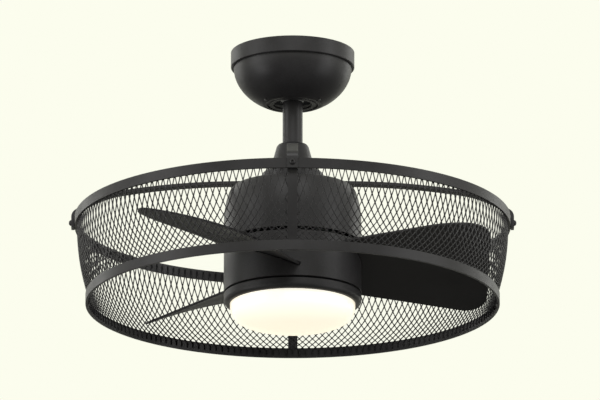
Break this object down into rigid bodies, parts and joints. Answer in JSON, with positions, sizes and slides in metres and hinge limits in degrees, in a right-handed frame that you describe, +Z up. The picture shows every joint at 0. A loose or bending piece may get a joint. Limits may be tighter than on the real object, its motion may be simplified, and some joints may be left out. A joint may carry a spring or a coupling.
{
  "type": "caged ceiling fan with light",
  "caption": "Caged ceiling fan on a short downrod: paddle blades turn inside a round diamond mesh cage with flat rings and arms, above an opal light.",
  "frame": {"origin": "centre of the ceiling bracket's upper face, in the plane of the ceiling, midway between the two outlet box bolts", "axes": "+Z up through the ceiling along the fan's axis, +X along the line of the two outlet box bolts, -Y the side that the picture shows"},
  "size_m": [0.5946, 0.5946, 0.3788],
  "materials": {
    "black_powder_coat": "fine textured matt black powder coat",
    "black_mesh": "matt black coat on expanded steel mesh",
    "blade_black": "matt black moulded plastic",
    "zinc_plated_steel": "bright zinc plate",
    "cast_aluminium": "die cast aluminium",
    "machined_steel": "machined steel",
    "bearing_steel": "ground bearing steel",
    "lamination_steel": "stacked electrical steel",
    "winding_copper": "enamelled copper wire",
    "magnet_ferrite": "sintered ferrite",
    "black_abs": "moulded black plastic",
    "board_green": "glass fibre circuit board",
    "board_white": "white circuit board",
    "opal_acrylic": "opal white acrylic, lit from inside"
  },
  "bodies": {
    "ceiling_mount": {"ceiling_bracket": "zinc_plated_steel", "canopy_cover": "black_powder_coat", "canopy_trim_ring": "black_powder_coat", "canopy_collar": "black_powder_coat", "canopy_screws": "black_powder_coat", "receiver_box": "black_abs"},
    "hanging_fan": {"hanger_ball": "machined_steel", "ball_pin": "zinc_plated_steel", "downrod": "black_powder_coat", "rod_coupling": "machined_steel", "coupling_pin": "zinc_plated_steel", "coupling_set_screws": "zinc_plated_steel", "bell_cover": "black_powder_coat", "cage_hub": "black_powder_coat", "hub_screws": "zinc_plated_steel", "top_ring": "black_powder_coat", "bottom_ring": "black_powder_coat", "cage_screws": "black_powder_coat", "cage_nuts": "zinc_plated_steel", "motor_housing": "black_powder_coat", "controller_board": "board_green", "motor_shaft": "machined_steel", "stator_core": "lamination_steel", "stator_windings": "winding_copper", "upper_inner_race": "bearing_steel", "lower_inner_race": "bearing_steel", "light_plate": "zinc_plated_steel", "shaft_nut": "zinc_plated_steel", "led_board": "board_white", "light_bezel": "black_powder_coat", "bezel_screws": "zinc_plated_steel", "diffuser": "opal_acrylic", "cage_arm_1": "black_powder_coat", "cage_arm_2": "black_powder_coat", "cage_arm_3": "black_powder_coat", "cage_arm_4": "black_powder_coat", "cage_strap_1": "black_powder_coat", "cage_strap_2": "black_powder_coat", "cage_strap_3": "black_powder_coat", "cage_strap_4": "black_powder_coat", "mesh_panel_1": "black_mesh", "mesh_panel_2": "black_mesh", "mesh_panel_3": "black_mesh", "mesh_panel_4": "black_mesh"},
    "rotor": {"magnet_ring": "magnet_ferrite", "rotor_upper_shell": "zinc_plated_steel", "rotor_lower_shell": "zinc_plated_steel", "drum_cover": "black_powder_coat", "drum_base": "black_powder_coat", "blade_hub": "cast_aluminium", "blade_screws": "zinc_plated_steel", "upper_outer_race": "bearing_steel", "lower_outer_race": "bearing_steel", "blade_1": "blade_black", "blade_2": "blade_black", "blade_3": "blade_black"},
    "upper_balls": {"upper_ball_set": "bearing_steel"},
    "lower_balls": {"lower_ball_set": "bearing_steel"}
  },
  "joints": [
    {"name": "ball_swing", "type": "hinge", "parent": "ceiling_mount", "child": "hanging_fan", "pos_m": [0, 0, -0.0474], "axis": [0, 1, 0], "range_deg": [-15, 15]},
    {"name": "fan_spin", "type": "hinge", "parent": "hanging_fan", "child": "rotor", "pos_m": [0, 0, -0.3006], "axis": [0, 0, 1], "continuous": true},
    {"name": "upper_ball_turn", "type": "hinge", "parent": "hanging_fan", "child": "upper_balls", "pos_m": [0, 0, -0.2078], "axis": [0, 0, 1], "continuous": true},
    {"name": "lower_ball_turn", "type": "hinge", "parent": "hanging_fan", "child": "lower_balls", "pos_m": [0, 0, -0.3247], "axis": [0, 0, 1], "continuous": true}
  ],
  "couplings": [
    {"joint": "upper_ball_turn", "follows": "fan_spin", "ratio": 0.59231},
    {"joint": "lower_ball_turn", "follows": "fan_spin", "ratio": 0.59231}
  ]
}
